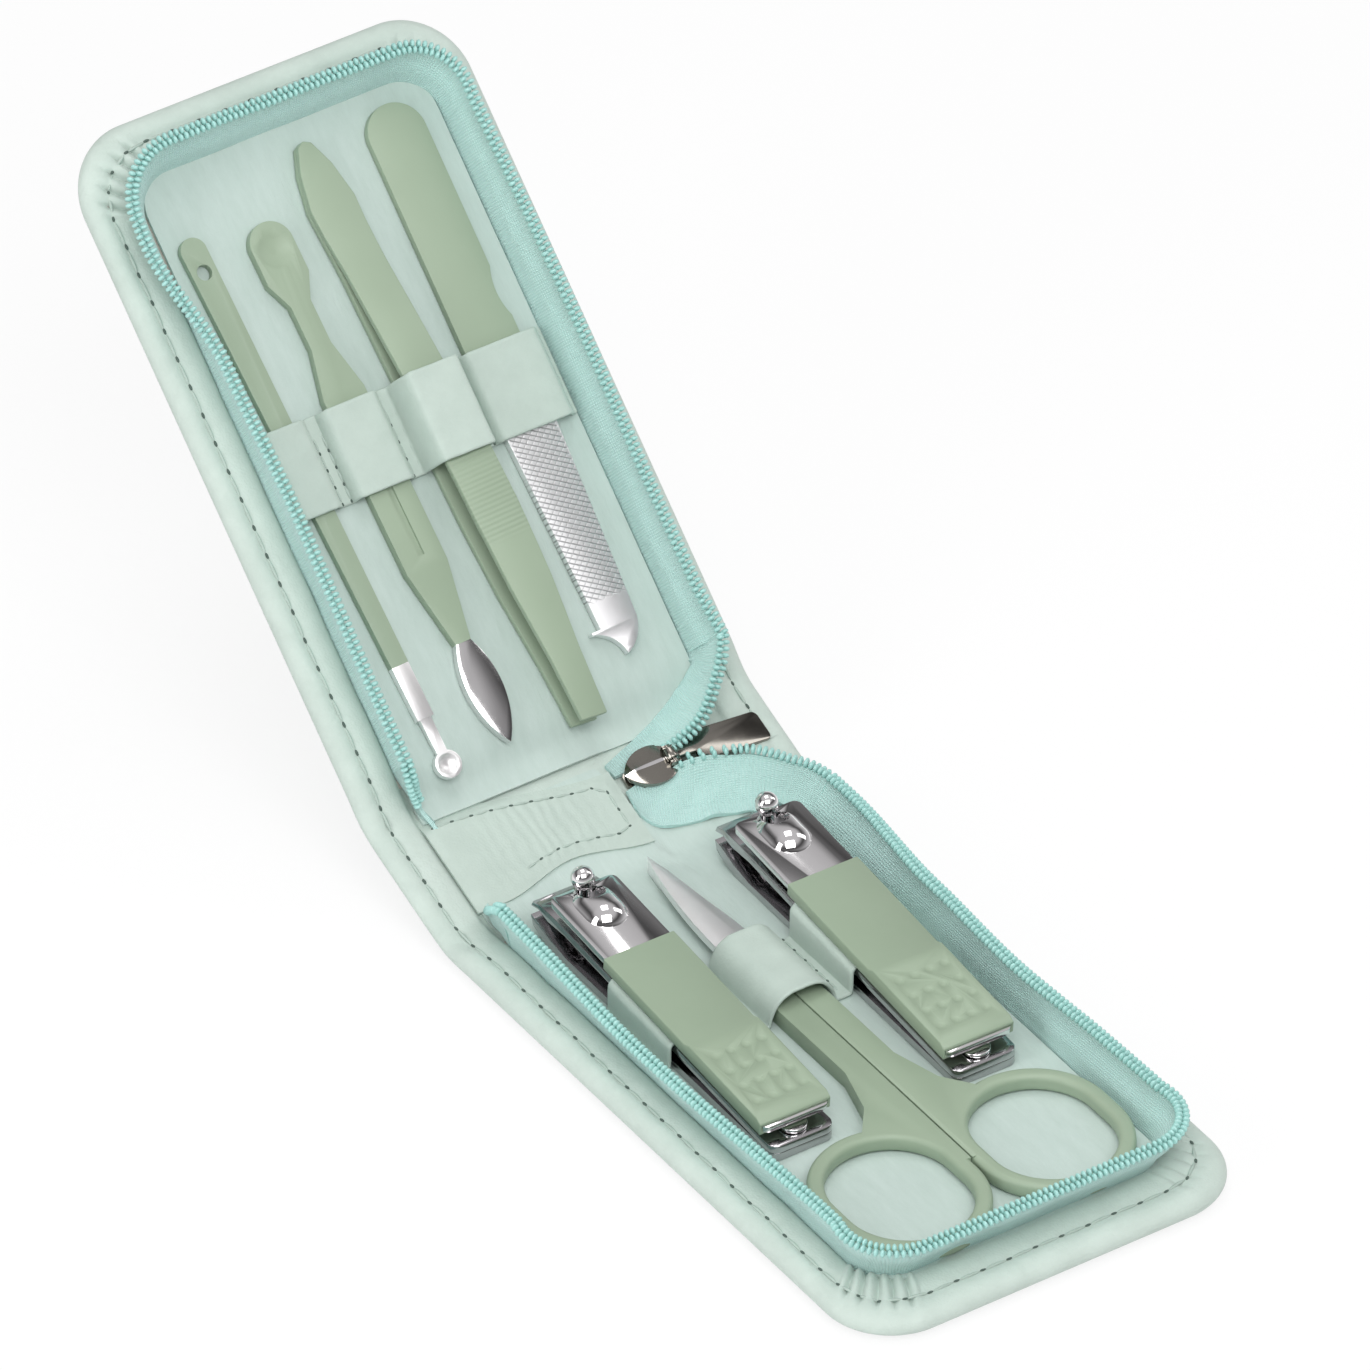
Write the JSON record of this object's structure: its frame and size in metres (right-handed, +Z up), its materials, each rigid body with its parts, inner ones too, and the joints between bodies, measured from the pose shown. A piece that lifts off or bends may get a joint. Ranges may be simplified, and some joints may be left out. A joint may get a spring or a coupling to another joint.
{
  "type": "manicure set case",
  "caption": "Rounded zip-round case in two stiffened leaves joined by a soft spine, opened out, with nail and cuticle tools held in sewn bands inside each leaf.",
  "frame": {"origin": "under the middle of the base leaf, on the flat surface that it lies on", "axes": "+Z up from that surface; X along the hinge lines, with the slider's pull towards +X; -Y along the base leaf to its free end; the spine and the lid rise towards +Y"},
  "size_m": [0.0666, 0.2105, 0.0867],
  "materials": {
    "cover_leather": "pale mint grained synthetic leather",
    "lining_leather": "pale mint smooth synthetic leather",
    "stiff_board": "grey card, hidden",
    "zip_tape": "aqua woven tape",
    "zip_coil": "aqua nylon coil",
    "dark_chrome": "polished dark chrome",
    "chrome_steel": "polished",
    "coated_steel": "matt sage green coating, working ends bare",
    "grip_sleeve": "matt sage green moulded grip"
  },
  "bodies": {
    "base": {"base_cover": "cover_leather", "base_board": "stiff_board", "base_lining": "lining_leather", "base_zip_tape": "zip_tape", "base_zip_coil": "zip_coil", "base_tool_band": "lining_leather"},
    "spine": {"spine_cover": "cover_leather", "spine_patch": "cover_leather", "zip_gusset": "zip_tape", "slider_body": "dark_chrome"},
    "slider_pull": {"slider_pull": "dark_chrome"},
    "lid": {"lid_cover": "cover_leather", "lid_board": "stiff_board", "lid_lining": "lining_leather", "lid_zip_tape": "zip_tape", "lid_zip_coil": "zip_coil", "lid_tool_band": "lining_leather"},
    "ear_pick": {"ear_pick": "coated_steel"},
    "cuticle_tool": {"cuticle_tool": "coated_steel"},
    "tweezers": {"tweezers_back_arm": "coated_steel"},
    "tweezers_front": {"tweezers_front_arm": "coated_steel"},
    "nail_file": {"nail_file": "coated_steel"},
    "scissors": {"scissors_left_half": "coated_steel", "scissors_screw": "chrome_steel"},
    "scissors_right": {"scissors_right_half": "coated_steel"},
    "left_clipper": {"left_clipper_lower_arm": "chrome_steel", "left_clipper_rivet": "chrome_steel", "left_clipper_pin": "chrome_steel"},
    "left_jaw": {"left_clipper_upper_arm": "chrome_steel"},
    "left_lever": {"left_clipper_lever": "chrome_steel", "left_clipper_grip": "grip_sleeve"},
    "right_clipper": {"right_clipper_lower_arm": "chrome_steel", "right_clipper_rivet": "chrome_steel", "right_clipper_pin": "chrome_steel"},
    "right_jaw": {"right_clipper_upper_arm": "chrome_steel"},
    "right_lever": {"right_clipper_lever": "chrome_steel", "right_clipper_grip": "grip_sleeve"}
  },
  "joints": [
    {"name": "spine_fold", "type": "hinge", "parent": "base", "child": "spine", "pos_m": [0, 0.054, 0.001], "axis": [-1, 0, 0], "range_deg": [-69, 21]},
    {"name": "lid_fold", "type": "hinge", "parent": "spine", "child": "lid", "pos_m": [0, 0.07641, 0.0096], "axis": [-1, 0, 0], "range_deg": [-69, 21]},
    {"name": "pull_swing", "type": "hinge", "parent": "spine", "child": "slider_pull", "pos_m": [0.0136, 0.06605, 0.01007], "axis": [0, -0.9336, -0.3584], "range_deg": [0, 165]},
    {"name": "ear_pick_slide", "type": "slide", "parent": "lid", "child": "ear_pick", "axis": [-0.0384, 0.7426, 0.6686], "range_m": [-0.0007, 0.007]},
    {"name": "cuticle_tool_slide", "type": "slide", "parent": "lid", "child": "cuticle_tool", "axis": [-0.0227, 0.743, 0.669], "range_m": [-0.002, 0.01]},
    {"name": "tweezers_slide", "type": "slide", "parent": "lid", "child": "tweezers", "axis": [-0.0332, 0.7427, 0.6688], "range_m": [-0.0005, 0.0015]},
    {"name": "nail_file_slide", "type": "slide", "parent": "lid", "child": "nail_file", "axis": [0.0035, 0.7431, 0.6691], "range_m": [-0.0035, 0.0008]},
    {"name": "tweezers_squeeze", "type": "hinge", "parent": "tweezers", "child": "tweezers_front", "pos_m": [0.00209, 0.13404, 0.06762], "axis": [0.9995, 0.0246, 0.0222], "range_deg": [0, 1.9], "stiffness_Nm_per_rad": 0.6},
    {"name": "scissors_slide", "type": "slide", "parent": "base", "child": "scissors", "axis": [0, -1, 0], "range_m": [-0.0012, 0.0004]},
    {"name": "scissors_open", "type": "hinge", "parent": "scissors", "child": "scissors_right", "pos_m": [-0.0002, 0.0196, 0.0053], "axis": [0, 0, 1], "range_deg": [0, 0.85]},
    {"name": "left_clipper_slide", "type": "slide", "parent": "base", "child": "left_clipper", "axis": [-0.0105, -0.9999, 0], "range_m": [-0.0015, 0.0024]},
    {"name": "left_clipper_bite", "type": "hinge", "parent": "left_clipper", "child": "left_jaw", "pos_m": [-0.01712, -0.0098, 0.0052], "axis": [-0.9999, 0.0105, 0], "range_deg": [0, 1.4], "stiffness_Nm_per_rad": 8},
    {"name": "left_lever_lift", "type": "hinge", "parent": "left_clipper", "child": "left_lever", "pos_m": [-0.01656, 0.0438, 0.01282], "axis": [-0.9999, 0.0105, 0], "range_deg": [0, 100]},
    {"name": "right_clipper_slide", "type": "slide", "parent": "base", "child": "right_clipper", "axis": [-0.0157, -0.9999, 0], "range_m": [-0.0015, 0.0005]},
    {"name": "right_clipper_bite", "type": "hinge", "parent": "right_clipper", "child": "right_jaw", "pos_m": [0.01417, -0.01019, 0.0052], "axis": [-0.9999, 0.0157, 0], "range_deg": [0, 1.4], "stiffness_Nm_per_rad": 8},
    {"name": "right_lever_lift", "type": "hinge", "parent": "right_clipper", "child": "right_lever", "pos_m": [0.01502, 0.0434, 0.01282], "axis": [-0.9999, 0.0157, 0], "range_deg": [0, 100]}
  ]
}
